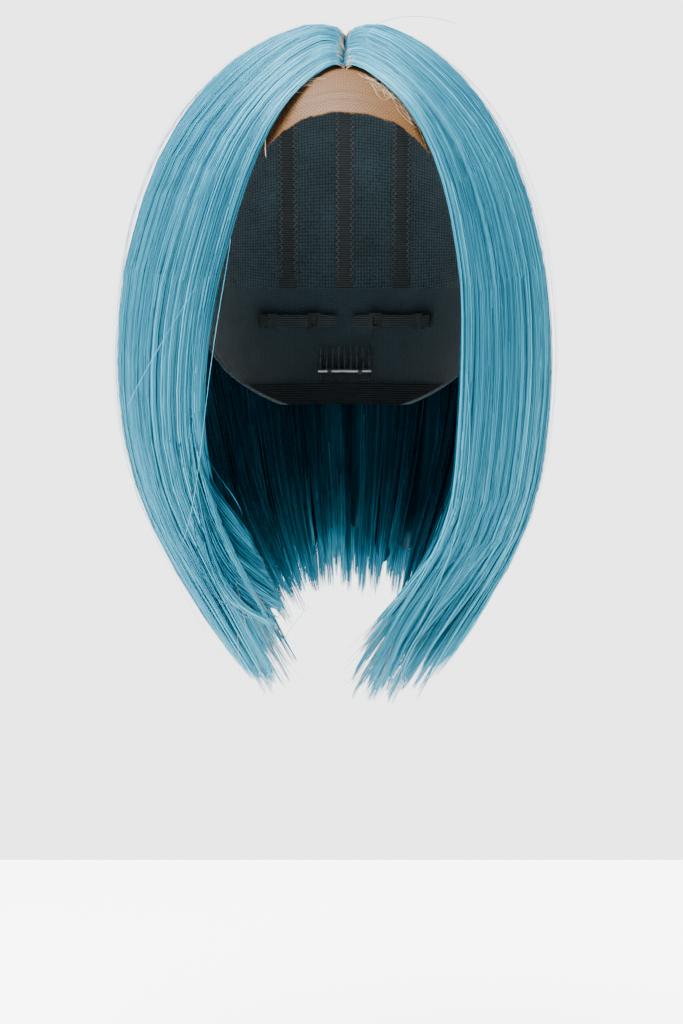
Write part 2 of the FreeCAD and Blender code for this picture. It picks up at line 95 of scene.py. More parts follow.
def new_material(name, **settings):
    """A material with its shader; settings fill the shader's inputs."""
    material = bpy.data.materials.new(name)
    material.use_nodes = True
    shader = material.node_tree.nodes["Principled BSDF"]
    for key, value in settings.items():
        shader.inputs[key.replace("_", " ")].default_value = value
    return material, material.node_tree, shader


def dress(piece, material):
    """Gives a piece its material and the cap to ride on."""
    piece.data.materials.append(material)
    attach(piece, "cap")


def ease(value, low, high):
    """0 below low, 1 above high, and a smooth step between."""
    t = np.clip((value - low) / (high - low), 0, 1)
    return t * t * (3 - 2 * t)


# --------------------------------------------------------------------------------------
# Camera, light and floor
# --------------------------------------------------------------------------------------

CAMERA_AWAY = 1200
CAMERA_LEVEL = -120
PICTURE_MIDDLE = Vector((-1.6, 0, -216))
PICTURE_TALL = 476
FLOOR_LEVEL = -510
FLOOR_BACK = 600
FLOOR_WIDE = 8000
FLOOR_DEEP = 6000

# name, place and aim in metres, size, power, colour
LIGHTS = (
    ("Overhead", (-0.28, -0.4, 1.3), (0, 0, -0.05), (1.1, 0.9), 120, "#ffffff"),
    ("Window", (-1.4, -1.2, 0.8), (0, 0, -0.12), (1.0, 1.2), 9, "#f6faff"),
)
# how strongly the room and the floor light the hair, and how brightly they are seen
ROOM_GIVEN, ROOM_SEEN = 0.6, 4.4
FLOOR_GIVEN, FLOOR_SEEN = 1.6, 5.4


def set_camera():
    data = bpy.data.cameras.new("Camera")
    camera = bpy.data.objects.new("Camera", data)
    bpy.context.collection.objects.link(camera)
    spot = Vector((PICTURE_MIDDLE.x, -CAMERA_AWAY, CAMERA_LEVEL))
    camera.location = spot * MM
    camera.rotation_euler = (PICTURE_MIDDLE - spot).to_track_quat("-Z", "Y").to_euler()
    data.sensor_width = 36
    data.lens = 36 * (PICTURE_MIDDLE - spot).length / PICTURE_TALL
    data.clip_start = 0.05
    bpy.context.scene.camera = camera


def set_lights():
    for name, place, target, size, power, colour in LIGHTS:
        data = bpy.data.lights.new(name, "AREA")
        data.shape = "RECTANGLE"
        data.size, data.size_y = size
        data.energy = power
        data.color = linear(colour)[:3]
        light = bpy.data.objects.new(name, data)
        bpy.context.collection.objects.link(light)
        light.location = place
        light.rotation_euler = (Vector(target) - Vector(place)).to_track_quat("-Z", "Y").to_euler()


def show_brighter(tree, strength, given, seen):
    """A surface that is seen brighter than the light it gives."""
    path = add(tree, "ShaderNodeLightPath")
    is_seen = path.outputs["Is Camera Ray"]
    switch = add(tree, "ShaderNodeMapRange", [("Value", is_seen)], To_Min=given, To_Max=seen)
    tree.links.new(switch.outputs[0], strength)


def set_room():
    world = bpy.data.worlds.new("Studio")
    bpy.context.scene.world = world
    world.use_nodes = True
    back = world.node_tree.nodes["Background"]
    back.inputs["Color"].default_value = linear("#e8e9eb")
    show_brighter(world.node_tree, back.inputs["Strength"], ROOM_GIVEN, ROOM_SEEN)


def set_floor():
    """A plain pale table that ends behind the object."""
    middle = (0, (FLOOR_BACK - FLOOR_DEEP / 2) * MM, FLOOR_LEVEL * MM)
    bpy.ops.mesh.primitive_plane_add(size=1, location=middle)
    floor = bpy.context.object
    floor.name = "Floor"
    floor.scale = (FLOOR_WIDE * MM, FLOOR_DEEP * MM, 1)
    pale = linear("#f4f5f5")
    material, tree, shader = new_material("Pale floor", Roughness=0.9, Base_Color=pale, Emission_Color=pale)
    show_brighter(tree, shader.inputs["Emission Strength"], FLOOR_GIVEN, FLOOR_SEEN)
    floor.data.materials.append(material)


set_camera()
set_lights()
set_room()
set_floor()

# --------------------------------------------------------------------------------------
# Where the hair lies
# --------------------------------------------------------------------------------------

# Down the hair, in millimetres: height, then for its outside half the width, how far it
# stands before and behind the crown and half the opening on the wearer's right and left,
# then half the width and the reach before and behind of its innermost fibres, and last
# how much of the right side's spread the left side has.
LEVELS = np.array([
    (-14, 59, 60, 70, 5, 4, 44, 55, 56, 0.90),
    (-34, 78, 82, 90, 27, 28, 63, 76, 79, 0.90),
    (-60, 90, 95, 104, 41, 41, 74.5, 90, 93, 0.905),
    (-90, 98.5, 96, 112, 50, 48.5, 79.5, 90, 99, 0.905),
    (-120, 103, 93, 114, 57.5, 51, 77, 86, 97, 0.905),
    (-150, 104.5, 89, 114, 61.5, 51, 75, 80, 88, 0.905),
    (-180, 102, 86, 111, 62, 49.5, 70, 74, 80, 0.91),
    (-210, 94.5, 85, 106, 56, 46, 62, 70, 75, 0.93),
    (-235, 83, 82, 98, 46, 36, 50, 64, 68, 0.95),
    (-257, 70.5, 78, 88, 37, 22, 38, 58, 60, 0.96),
    (-276, 58, 75, 80, 30, 14, 28, 54, 52, 0.97),
    (-296, 43, 71, 70, 23, 10, 19, 50, 44, 0.97),
], float)[::-1]
# half the cap's width, half its length and its height above its widest level
HEAD = np.array([77.0, 97.0, 95.0])
# how far round the ear, in radians, the front's reach passes into the back's
PAST_EAR = 0.5


def profile(height):
    """The hair's measures at any height, on a smooth curve through the levels."""
    heights = LEVELS[:, 0]
    slopes = np.gradient(LEVELS[:, 1:], heights, axis=0)
    z = np.clip(height, heights[0], heights[-1])
    upper = np.clip(np.searchsorted(heights, z), 1, len(heights) - 1)
    step = (heights[upper] - heights[upper - 1])[..., None]
    t = (z - heights[upper - 1])[..., None] / step
    low, high = LEVELS[upper - 1, 1:], LEVELS[upper, 1:]
    return (
        (2 * t**3 - 3 * t**2 + 1) * low + (t**3 - 2 * t**2 + t) * step * slopes[upper - 1]
        + (3 * t**2 - 2 * t**3) * high + (t**3 - t**2) * step * slopes[upper]
    )


def hang(height, share, depth, hand):
    """Where hair hangs: share runs from the front edge to the middle of the back, depth
    from the outside to the innermost fibres. Always given on the +X side."""
    width, before, behind, right, left, inner_width, inner_before, inner_behind, spread = (
        np.moveaxis(profile(height), -1, 0)
    )
    if hand == "left":
        width = width * spread
    opening = left if hand == "left" else right
    across = width + (inner_width - width) * depth
    start = np.arcsin(np.clip(opening / across, 0, 1))
    angle = start + share * (math.pi - start)
    ahead = before + (inner_before - before) * depth
    aback = behind + (inner_behind - behind) * depth
    turn = ease(angle, math.pi / 2 - PAST_EAR, math.pi / 2 + PAST_EAR)
    along = ahead + (aback - ahead) * turn
    return np.stack([across * np.sin(angle), -along * np.cos(angle), height], axis=-1)


PARTING_FRONT = -57
PARTING_LONG = 87
# the parting runs askew: where it starts, across, and how far it steps for each millimetre back
PARTING_START = -1
PARTING_SLANT = 0.038
PARTING_GAP = 0.5
ROOT_SCATTER = 2111
ROOT_RISE = 2.0
# how much the hair stands up beside the parting, by its share of the way round
ROLL_SHARE = (0, 0.06, 0.15, 0.3, 0.62, 1)
ROLL_TALL = (4, 6.2, 8.8, 9.9, 9.9, 8.5)
ROLL_INSIDE = 3.2
TURN_SHARE = (0, 0.05, 0.12, 0.2, 1)
TURN_LEVEL = (-34.0, -30, -20, -14, -14)


def scalp(along):
    """Height of the cap's top at the parting."""
    return HEAD[2] * (np.sqrt(1 - (along / HEAD[1]) ** 2) - 1)


def turn_level(share):
    """Where hair leaves the roll and starts to hang, lower at the front edge."""
    return np.interp(share, TURN_SHARE, TURN_LEVEL)


def over_the_top(share, depth, hand, steps):
    """From the parting, over the roll beside it, to where the hair starts to hang."""
    root_y = PARTING_FRONT + PARTING_LONG * share**0.9
    middle = SIDES[hand] * (PARTING_START + PARTING_SLANT * (root_y - PARTING_FRONT))
    root_x = PARTING_GAP * (1 + np.sin(share * ROOT_SCATTER)) + middle
    root = np.stack([root_x, root_y, scalp(root_y) + ROOT_RISE - depth], axis=-1)
    turn = hang(turn_level(share), share, depth, hand)
    f = np.linspace(0, 1, steps)[None, :, None] ** 1.3
    reach = (turn - root)[:, None, :2] * [0.55, 0.12]
    start, stop = root[:, None, :2], turn[:, None, :2]
    plan = (1 - f) ** 2 * start + 2 * (1 - f) * f * (start + reach) + f**2 * stop
    roll = np.interp(share, ROLL_SHARE, ROLL_TALL)
    lift = (roll + (ROLL_INSIDE - roll) * depth)[:, None, None] * np.sin(math.pi * f**0.68) ** 0.85
    height = root[:, None, 2:] + f * (turn - root)[:, None, 2:] + lift
    return np.concatenate([plan, height], axis=-1)


# how low the hair is cut, by its share of the way round: longest in the front lock
CUT_SHARE = (0, 0.05, 0.12, 0.2, 0.35, 0.5, 0.7, 1)
CUT_LEVEL = {
    "right": (-258, -273, -290, -294, -289, -280, -266, -256),
    "left": (-268, -285, -296, -295, -287, -278, -266, -256),
}


def tip_level(share, hand):
    return np.interp(share, CUT_SHARE, CUT_LEVEL[hand])


# --------------------------------------------------------------------------------------
# Hair
# --------------------------------------------------------------------------------------

# points along a fibre: over the roll, all the way, and on the hair sewn below
TOP_RINGS = 9
RINGS = 24
UNDER_RINGS = 13
# the fibre's length and half the way round the head, that streaks of colour are laid out on
FLOW_LONG = 330
ROUND = 300
# the rings where the roll passes into the hanging length, and how often they are evened out
BEND_RINGS = (4, 14)
BEND_PASSES = 4
# how far below its weft row hair has settled into its place
WEFT_SETTLE = 38
# how far the front ends are swept together, and from where ahead and below that starts
SWEEP = {"left": 18, "right": 11}
SWEEP_AHEAD = (5, 55)
SWEEP_BELOW = (215, 294)
TURN = 6.28


def parted_paths(share, depth, end, hand):
    """Hair from the parting, over the roll beside it and down to its ends."""
    top = over_the_top(share, depth, hand, TOP_RINGS)
    steps = np.linspace(0, 1, RINGS - TOP_RINGS + 1)[1:] ** 1.2
    start = turn_level(share)
    heights = start[:, None] + (end - start)[:, None] * steps
    low = hang(heights, share[:, None] + 0 * heights, depth[:, None] + 0 * heights, hand)
    paths = np.concatenate([top, low], axis=1)
    first, last = BEND_RINGS
    for _ in range(BEND_PASSES):
        near = paths[:, first - 1:last - 1] + paths[:, first + 1:last + 1]
        paths[:, first:last] = (2 * paths[:, first:last] + near) / 4
    return paths


def sewn_paths(share, depth, root_level, end, hand):
    """Hair from a weft row on the cap, down to its ends."""
    steps = np.linspace(0, 1, UNDER_RINGS) ** 1.15
    heights = root_level[:, None] + (end - root_level)[:, None] * steps
    settle = ease(root_level[:, None] - heights, 0, WEFT_SETTLE)
    return hang(heights, share[:, None] + 0 * heights, 1 + (depth[:, None] - 1) * settle, hand)


def around_and_out(paths):
    """For every point, the way round the head and the way out of it."""
    out = paths * [1, 1, 0]
    out = out / (np.linalg.norm(out, axis=-1, keepdims=True) + 1e-9)
    return np.stack([out[..., 1], -out[..., 0], 0 * out[..., 0]], axis=-1), out


def turn_in(paths, hand, amount):
    """Sweeps the front ends towards each other; amount is per path."""
    front = ease(-paths[..., 1], *SWEEP_AHEAD)
    paths[..., 0] -= SWEEP[hand] * amount[:, None] * front * ease(-paths[..., 2], *SWEEP_BELOW)
    return paths


def sway(random, paths, lock, hand, gather):
    """Lets locks drift, draws their ends together and turns them in."""
    count, rings, _ = paths.shape
    locks = lock.max() + 1
    way = np.linspace(0, 1, rings)[None, :]
    middle = np.zeros((locks, rings, 3))
    np.add.at(middle, lock, paths)
    middle /= np.maximum(np.bincount(lock, minlength=locks), 1)[:, None, None]
    paths = paths + (middle[lock] - paths) * (ease(way, 0.6, 1.0) * gather)[..., None]
    around, out = around_and_out(paths)
    phase = random.uniform(0, TURN, locks)[lock][:, None]
    drift = random.normal(0, 1.0, locks)[lock][:, None] * np.sin(phase + way * 4.2) * way
    own = random.normal(0, 0.5, count)[:, None]
    own = own * np.sin(random.uniform(0, TURN, count)[:, None] + way * 6) * ease(way, 0.03, 0.3)
    puff = random.normal(0, 0.25, count)[:, None] * ease(way, 0.1, 0.5)
    paths = paths + around * (drift + own)[..., None] + out * puff[..., None]
    return turn_in(paths, hand, random.uniform(0.05, 1.1, locks)[lock])


def add_mesh(name, points, faces):
    """A mesh object from points in millimetres and faces of three or four corners."""
    mesh = bpy.data.meshes.new(name)
    mesh.from_pydata((points.reshape(-1, 3) * MM).tolist(), [], faces)
    mesh.validate()
    mesh.update()
    piece = bpy.data.objects.new(name, mesh)
    bpy.context.collection.objects.link(piece)
    mesh.shade_smooth()
    return piece


def set_field(piece, name, shape, *numbers):
    """Stores three numbers a point, for the material, each spread over the points' shape."""
    values = np.stack([np.broadcast_to(number, shape) for number in numbers], axis=-1)
    field = piece.data.attributes.new(name, "FLOAT_VECTOR", "POINT")
    field.data.foreach_set("vector", values.astype(np.float32).ravel())


# a fibre is thin at its root and fades out at its end
TAPER_WAY = (0, 0.06, 0.86, 0.97, 1)
TAPER_WIDE = (0.45, 0.9, 1, 0.72, 0.15)


def fibre_mesh(name, paths, widths, tone, depth, flow):
    """Closed three-sided fibres along paths, with a width, a tone, a depth in the hair that the
    material darkens as painted shade, and a place round the head for each."""
    count, rings, _ = paths.shape
    along = np.gradient(paths, axis=1)
    along /= np.linalg.norm(along, axis=-1, keepdims=True) + 1e-12
    up = paths * [1, 1, 0] + [0, 0, 20]
    side = np.cross(along, up)
    side /= np.linalg.norm(side, axis=-1, keepdims=True) + 1e-12
    out = np.cross(side, along)
    way = np.linspace(0, 1, rings)
    wide = (widths[:, None] * np.interp(way, TAPER_WAY, TAPER_WIDE))[..., None]
    corners = [
        side * wide * 0.5 - out * wide * 0.2,
        out * wide * 0.36,
        -side * wide * 0.5 - out * wide * 0.2,
    ]
    points = np.stack([paths + corner for corner in corners], axis=2)
    numbers = np.arange(count * rings * 3).reshape(count, rings, 3)
    near, far = numbers[:, :-1], numbers[:, 1:]
    quads = np.stack([near, np.roll(near, -1, 2), np.roll(far, -1, 2), far], axis=-1).reshape(-1, 4)
    ends = np.concatenate([numbers[:, 0, ::-1], numbers[:, -1]]).reshape(-1, 3)
    mesh = bpy.data.meshes.new(name)
    mesh.vertices.add(points.size // 3)
    mesh.vertices.foreach_set("co", (points * MM).ravel())
    mesh.loops.add(quads.size + ends.size)
    mesh.loops.foreach_set("vertex_index", np.concatenate([quads.ravel(), ends.ravel()]))
    starts = np.concatenate([np.arange(len(quads)) * 4, quads.size + np.arange(len(ends)) * 3])
    mesh.polygons.add(len(starts))
    mesh.polygons.foreach_set("loop_start", starts)
    mesh.update(calc_edges=True)
    mesh.shade_smooth()
    piece = bpy.data.objects.new(name, mesh)
    bpy.context.collection.objects.link(piece)
    shape = (count, rings, 3)
    way = way[None, :, None]
    set_field(piece, "fibre", shape, tone[:, None, None], way, depth[:, None, None])
    set_field(piece, "flow", shape, flow[:, None, None], way * FLOW_LONG, 0)
    return piece


# a lock is about 7 mm wide, a strand 2.5 mm and a pinch of fibres 0.7 mm: width, the length
# that each keeps its tone for, and how much it counts
STREAKS = ((7.0, 160, 0.14), (2.5, 90, 0.18), (0.7, 60, 0.40))


def hair_material():
    """Heat-resistant synthetic fibre, drawn and dyed aqua: silky, with a narrow shine along
    each fibre, and streaks where fibres lie lighter or deeper than the next. Fibres deeper
    in the hair are darkened as painted shade, and the loose ends are lightened as painted light."""
    material, tree, shader = new_material(
        "Aqua drawn fibre", Roughness=0.34, IOR=1.5, Specular_IOR_Level=0.5, Specular_Tint=linear("#55cdec"),
    )
    fibre = add(tree, "ShaderNodeAttribute", attribute_name="fibre")
    split = add(tree, "ShaderNodeSeparateXYZ", [(0, fibre.outputs["Vector"])])
    flow = add(tree, "ShaderNodeAttribute", attribute_name="flow")
    way = split.outputs["Y"]
    total = split.outputs["X"]
    for wide, long, strength in STREAKS:
        squeeze = add(
            tree, "ShaderNodeVectorMath", [(0, flow.outputs["Vector"])],
            operation="MULTIPLY", i1=(1 / wide, 1 / long, 1),
        )
        streak = add(tree, "ShaderNodeTexNoise", [("Vector", squeeze.outputs[0])], Scale=1.0, Detail=1.0)
        step = add(
            tree, "ShaderNodeMath", [(0, streak.outputs["Fac"]), (2, total)],
            operation="MULTIPLY_ADD", i1=strength,
        )
        total = step.outputs[0]
    # painted light: the thinned ends are drawn lighter, standing in for the light that reaches them from
    # below and in front
    painted_light_ends = add(
        tree, "ShaderNodeMapRange", [("Value", way)], From_Min=0.66, From_Max=0.97, To_Min=0.0, To_Max=0.1,
    )
    lighter = add(tree, "ShaderNodeMath", [(0, total), (1, painted_light_ends.outputs[0])], operation="ADD")
    colour = add(tree, "ShaderNodeValToRGB", [(0, lighter.outputs[0])], [
        (0.10, "#1a4657"), (0.29, "#25657b"), (0.41, "#308099"), (0.54, "#43a3bf"), (0.74, "#76d3e8"),
    ])
    # painted shade is eased off towards the loose ends, where light reaches even under the hair above
    open_end = add(
        tree, "ShaderNodeMapRange", [("Value", way)], From_Min=0.72, From_Max=1.0, To_Min=1.0, To_Max=0.3,
    )
    depth = add(
        tree, "ShaderNodeMath", [(0, split.outputs["Z"]), (1, open_end.outputs[0])], operation="MULTIPLY",
    )
    # painted shade: fibres deeper in the hair are darkened, standing in for the shadow of the hair over them
    painted_shade = add(tree, "ShaderNodeValToRGB", [(0, depth.outputs[0])], [
        (0.0, "#ffffff"), (0.3, "#bcd2d8"), (1.0, "#4a6872"),
    ])
    mixed = add(
        tree, "ShaderNodeMix", [("A", colour.outputs["Color"]), ("B", painted_shade.outputs["Color"])],
        data_type="RGBA", blend_type="MULTIPLY", Factor=1.0,
    )
    tree.links.new(mixed.outputs["Result"], shader.inputs["Base Color"])
    bump = add(tree, "ShaderNodeBump", [("Height", streak.outputs["Fac"])], Strength=0.35, Distance=0.0006)
    tree.links.new(bump.outputs[0], shader.inputs["Normal"])
    return material


AQUA = hair_material()
# how far round each region reaches, from the front edge to the middle of the back
REGIONS = {"front": (0.0, 0.2), "side": (0.2, 0.47), "back": (0.47, 0.74), "nape": (0.74, 1.01)}

# the body of the hair: the width of its faces, where it starts, how far above the ends it
# stops, how deep its two skins lie, and the width and depth of its grooves
BODY_STEP = 1.6
BODY_START = 0.012
BODY_SHORT = 24
BODY_DEEP = 22
BODY_SKINS = ((0.24, 1), (0.94, -0.5))
GROOVES = ((9.0, 0.030), (3.7, 0.022), (1.9, 0.012))

# A real fibre is 0.06 mm wide. One here stands for a pinch of fibres that lie together, so
# it is drawn 0.3 to 0.7 mm wide on top and 0.6 to 1.2 mm below; a loose one is 0.1 to 0.3 mm.
TOP_WIDE = (0.32, 0.68)
TOP_LOCKS, TOP_EACH, TOP_SPREAD = 170, 28, 0.715
UNDER_WIDE = (0.6, 1.2)
UNDER_LOCKS, UNDER_EACH, UNDER_SPREAD = 100, 16, 0.6
# how unevenly the locks are cut, how much they thin out and how far their ends are gathered
UNEVEN = {"right": 3.5, "left": 4.5}
THINNING = {"right": 4.5, "left": 6}
GATHER = {"right": 0.28, "left": 0.34}
UNDER_GATHER = 0.5
UNDER_SHORT = 5
# the under coat of the wearer's right front lock stops above the inner curls
RIGHT_FRONT_SHORT = 44
WEFT_LEVELS = (-58.0, -76.0, -94.0, -112.0, -125.0)


def lay_on_side(piece, hand):
    """Hair is laid out on +X, and the wearer's right is then turned over."""
    if hand == "right":
        place = np.empty(len(piece.data.vertices) * 3)
        piece.data.vertices.foreach_get("co", place)
        place[0::3] *= -1
        piece.data.vertices.foreach_set("co", place)
        piece.data.flip_normals()
    piece.data.update()


def make_body(region, hand, seed):
    """The body of one region's hair: a closed form whose outside and inside are grooved
    along the hair, thinning to an edge above the ends of the fibres."""
    random = np.random.default_rng(seed)
    low, high = REGIONS[region]
    columns = int(ROUND * (high - low) / BODY_STEP)
    share = np.linspace(max(low, BODY_START), high, columns)
    around = share * ROUND
    grooves = sum(tall * np.sin(around / wide * TURN + random.uniform(0, TURN)) for wide, tall in GROOVES)
    end = tip_level(share, hand) + BODY_SHORT + 7 * np.sin(around / 11) + 4 * np.sin(around / 4.3)
    way = np.linspace(0, 1, RINGS)[None, :]
    thin = ease(way, 0.62, 1.0)
    thick = BODY_DEEP * ease(way, 0.06, 0.3) * (1 - 0.6 * thin)
    middle = parted_paths(share, 0 * share + 0.5, end, hand)
    skins = []
    for depth, grooved in BODY_SKINS:
        flat = parted_paths(share, 0 * share + depth, end, hand)
        skin = flat + (middle - flat) * (thin * 0.86)[..., None]
        skins.append(skin - around_and_out(skin)[1] * (grooves[:, None] * thick * grooved)[..., None])
    points = np.stack(skins)
    shape = points.shape[:3]
    top, under = np.arange(points.size // 3).reshape(shape)
    corners = (
        (top[:-1, :-1], top[:-1, 1:], top[1:, 1:], top[1:, :-1]),
        (under[:-1, :-1], under[1:, :-1], under[1:, 1:], under[:-1, 1:]),
        (top[:-1, -1], under[:-1, -1], under[1:, -1], top[1:, -1]),
        (top[:-1, 0], top[1:, 0], under[1:, 0], under[:-1, 0]),
        (top[0, :-1], under[0, :-1], under[0, 1:], top[0, 1:]),
        (top[-1, :-1], top[-1, 1:], under[-1, 1:], under[-1, :-1]),
    )
    faces = np.concatenate([np.stack(four, axis=-1).reshape(-1, 4) for four in corners])
    piece = add_mesh(f"hair_{region}_{hand}_body", points, faces.tolist())
    # painted shade: the inner skin is darkened fully by its depth and the outer skin a quarter as much; the
    # body's tone is a little deeper
    set_field(piece, "fibre", shape, -0.1, way * 0.6, np.array([0.25, 1.0])[:, None, None])
    set_field(piece, "flow", shape, around[:, None], way * FLOW_LONG, 0)
    dress(piece, AQUA)
    lay_on_side(piece, hand)
    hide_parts(f"hair_{region}_{hand}")


def lay_locks(random, region, density, each, spread):
    """The number of locks in a region, the lock of every fibre and its share of the way round."""
    low, high = REGIONS[region]
    locks = int((high - low) * density)
    lock = np.repeat(np.arange(locks), each)
    middle = low + (high - low) * (np.arange(locks) + random.uniform(0.1, 0.9, locks)) / locks
    return locks, lock, np.abs(middle[lock] + random.normal(0, spread / density, len(lock)))


def make_top_coat(random, region, hand):
    """The fibres that show, from the parting to the ends."""
    locks, lock, share = lay_locks(random, region, TOP_LOCKS, TOP_EACH, TOP_SPREAD)
    count = len(lock)
    depth = random.uniform(0.0, 0.12, locks)[lock] + random.uniform(-0.02, 0.11, count)
    depth = np.clip(depth, 0, 1)
    end = tip_level(share, hand) + random.normal(0, UNEVEN[hand], locks)[lock]
    end = end + random.gamma(1.2, THINNING[hand], count)
    paths = sway(random, parted_paths(share, depth, end, hand), lock, hand, GATHER[hand])
    tone = random.normal(0, 0.035, locks)[lock] + random.normal(0, 0.055, count)
    # one fibre in eight is lighter than the rest and one in nine deeper
    tone = tone + random.choice([0, 0.17, -0.13], count, p=[0.76, 0.13, 0.11])
    flow = share * ROUND + random.normal(0, 1.0, count)
    wide = random.uniform(*TOP_WIDE, count)
    # painted shade: the top coat is darkened a little by its depth in the hair
    piece = fibre_mesh(f"hair_{region}_{hand}_top", paths, wide, tone, depth * 0.7, flow)
    dress(piece, AQUA)
    lay_on_side(piece, hand)


def make_under_coat(random, region, hand):
    """The fibres below, from the weft rows to the ends."""
    locks, lock, share = lay_locks(random, region, UNDER_LOCKS, UNDER_EACH, UNDER_SPREAD)
    count = len(lock)
    depth = random.uniform(0.25, 1.0, locks)[lock] + random.normal(0, 0.06, count)
    depth = np.clip(depth, 0, 1)
    short = RIGHT_FRONT_SHORT if (region, hand) == ("front", "right") else UNDER_SHORT
    end = tip_level(share, hand) + random.normal(short, 6, locks)[lock] + random.gamma(1.3, 7, count)
    root = random.choice(WEFT_LEVELS, count)
    paths = sway(random, sewn_paths(share, depth, root, end, hand), lock, hand, UNDER_GATHER)
    tone = random.normal(0, 0.05, locks)[lock] + random.normal(0, 0.06, count)
    flow = share * ROUND + random.normal(0, 1.0, count)
    wide = random.uniform(*UNDER_WIDE, count)
    # painted shade: the under coat lies beneath the top coat and is darkened more by its depth
    piece = fibre_mesh(f"hair_{region}_{hand}_under", paths, wide, tone, 0.35 + 0.65 * depth, flow)
    dress(piece, AQUA)
    lay_on_side(piece, hand)


for number, region in enumerate(REGIONS):
    for hand, first_seed in (("left", 7), ("right", 13)):
        seed = 100 * number + first_seed
        make_body(region, hand, seed + 1)
        coats = np.random.default_rng(seed)
        make_top_coat(coats, region, hand)
        make_under_coat(coats, region, hand)

for hand in SIDES:
    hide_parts(f"hair_front_{hand}", f"hair_crown_{hand}")

# --------------------------------------------------------------------------------------
# Loose hair
# --------------------------------------------------------------------------------------

FLYAWAYS = 80
# single fibres that lie across the others or stand off them
STRAYS = (
    [(-49, -88, -92), (-53, -90, -122), (-62, -88, -152), (-60, -88, -196), (-71, -80, -224)],
    [(-64, -84, -112), (-74, -84, -128), (-86, -74, -146), (-97, -54, -166)],
    [(52, -88, -150), (57, -90, -186), (50, -90, -226), (30, -86, -262)],
    [(12, -30, 4), (26, -34, 11), (42, -30, 8), (52, -24, 5)],
    [(-16, -70, -252), (-26, -76, -262), (-34, -78, -276), (-36, -78, -292)],
)
CURL_LOCKS, CURL_EACH = 110, 8
CURL_WIDE = (0.35, 0.7)
# down the fan of inner curls: share of the way, then across and height of the tips
CURL_SHARE = (0, 0.5, 0.85, 1)
CURL_ACROSS = (-40, -30, -27, -30)
CURL_LEVEL = (-226, -246, -254, -263)
CURL_SLOPE = (54, 20)


def smooth_path(corners, steps):
    """A curve with its ends at the first and last corner, drawn towards those between."""
    corners = np.array(corners, float)
    t = np.linspace(0, 1, steps).reshape(-1, *[1] * (corners.ndim - 1))
    degree = len(corners) - 1
    return sum(
        math.comb(degree, k) * (1 - t) ** (degree - k) * t**k * corner for k, corner in enumerate(corners)
    )


def loose_piece(name, paths, wide, tone=0.0, material=AQUA):
    """Single fibres that follow their own paths, given where they lie."""
    paths = np.array(paths)
    each = np.ones(len(paths))
    piece = fibre_mesh(name, paths, each * wide, each * tone, each * 0, np.arange(len(paths)) * 3.1)
    dress(piece, material)


def make_flyaways():
    """Fibres that stand off the outline and the ends, and a few that crossed the others."""
    random = np.random.default_rng(41)
    way = np.linspace(0, 1, RINGS)[None, :]
    for hand, side in SIDES.items():
        share = random.uniform(0.02, 0.98, FLYAWAYS)
        end = tip_level(share, hand) + random.uniform(-3, 110, FLYAWAYS)
        paths = parted_paths(share, 0 * share, end, hand)
        around, out = around_and_out(paths)
        bow = random.gamma(1.4, 1.0, FLYAWAYS)[:, None]
        bow = bow * np.sin(math.pi * way ** random.uniform(0.5, 3.2, FLYAWAYS)[:, None])
        drift = random.normal(0, 7, FLYAWAYS)[:, None] * way**2
        paths = paths + out * (bow + 0.6)[..., None] + around * drift[..., None]
        paths = turn_in(paths, hand, random.uniform(0.1, 1, FLYAWAYS)) * [side, 1, 1]
        loose_piece(f"flyaways_{hand}", paths, wide=0.22, tone=0.06)
    loose_piece("stray_fibres", [smooth_path(path, 24) for path in STRAYS], wide=0.28, tone=0.22)


def make_inner_curls():
    """On the wearer's right the hair behind the ear curls in under the jaw: a fan whose
    strands turn from hanging straight to lying nearly level."""
    random = np.random.default_rng(77)
    lock = np.repeat(np.arange(CURL_LOCKS), CURL_EACH)
    count = len(lock)
    down = random.uniform(0, 1, CURL_LOCKS)[lock] + random.normal(0, 0.012, count)
    slope = np.interp(down, [0, 1], CURL_SLOPE) + random.normal(0, 5, CURL_LOCKS)[lock]
    slope = np.radians(slope + random.normal(0, 2, count))
    toward = np.stack([np.cos(slope), 0.1 + 0 * slope, -np.sin(slope)], axis=-1)
    tip = np.stack([
        np.interp(down, CURL_SHARE, CURL_ACROSS),
        -58 + random.normal(0, 3, CURL_LOCKS)[lock],
        np.interp(down, CURL_SHARE, CURL_LEVEL),
    ], axis=-1)
    tip = tip - toward * random.gamma(1.5, 3.0, count)[:, None] + random.normal(0, 0.35, (count, 3))
    root = np.stack([-71 + 0 * down, -44 + 14 * random.uniform(-1, 1, count), -112 + 0 * down], axis=-1)
    side = np.stack([-69 + 0 * down, root[:, 1] - 6, -170 + 0 * down], axis=-1)
    hip = np.stack([-67 + 0 * down, tip[:, 1] - 3, tip[:, 2] + 20], axis=-1)
    bend = tip - toward * 20
    paths = smooth_path([root, side, hip, bend, tip], 18).transpose(1, 0, 2)
    # painted shade: the upper curls, inside the hair, are given a deeper tone and more depth darkening than
    # the lower ones
    tone = -0.1 + 0.16 * down + random.normal(0, 0.06, CURL_LOCKS)[lock] + random.normal(0, 0.12, count)
    flow = down * 60 + random.normal(0, 1.0, count)
    piece = fibre_mesh("inner_curls", paths, random.uniform(*CURL_WIDE, count), tone, 1.0 - 0.7 * down, flow)
    dress(piece, AQUA)


